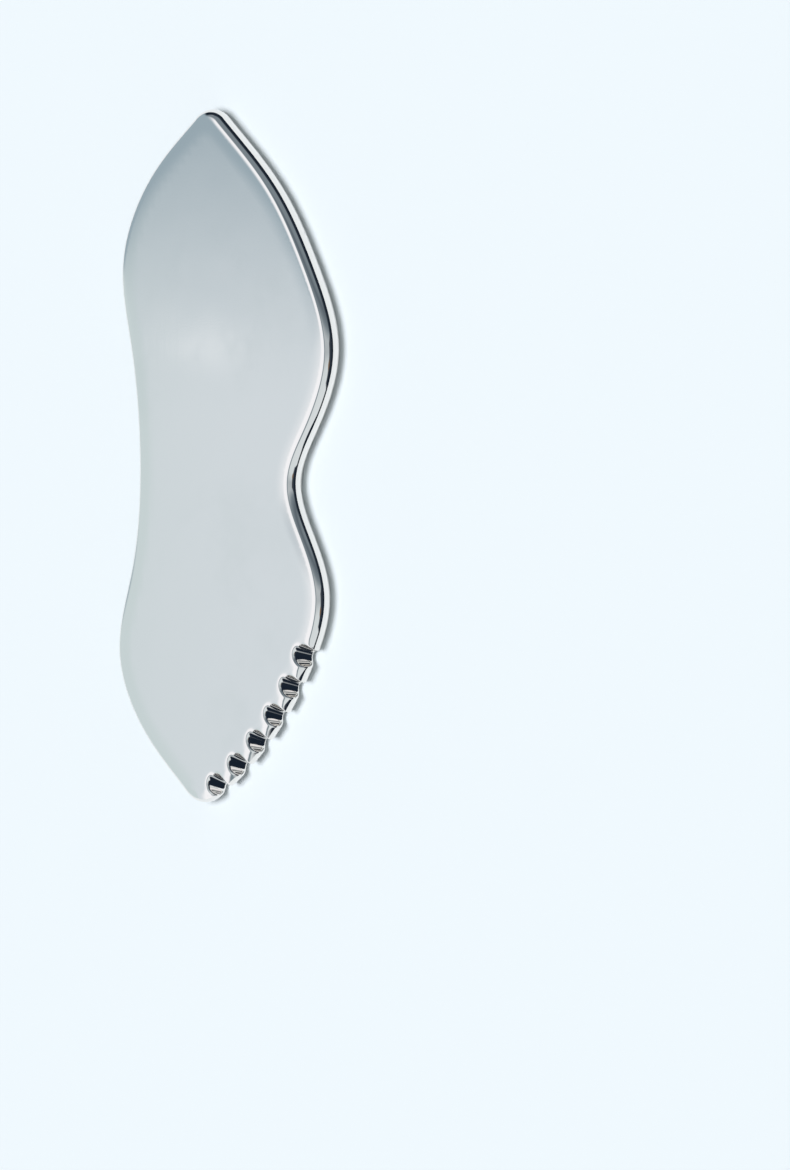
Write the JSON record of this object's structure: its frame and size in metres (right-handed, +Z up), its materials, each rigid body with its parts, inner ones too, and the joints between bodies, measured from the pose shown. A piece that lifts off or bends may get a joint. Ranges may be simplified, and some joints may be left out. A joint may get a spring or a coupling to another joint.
{
  "type": "gua sha scraper",
  "caption": "Flat plate of mirror-polished steel with a rounded edge, a pointed end, a waisted long edge, a deep dent and a comb edge of round notches.",
  "frame": {"origin": "centre of the plate's bounding box in plan, on its underside", "axes": "+X towards the long edge with the dent, +Y along the length towards the pointed end, +Z up out of the upper face"},
  "size_m": [0.062, 0.14, 0.0046],
  "materials": {
    "polished_steel": "mirror polish"
  },
  "bodies": {
    "root": {"scraper_plate": "polished_steel"}
  },
  "joints": []
}
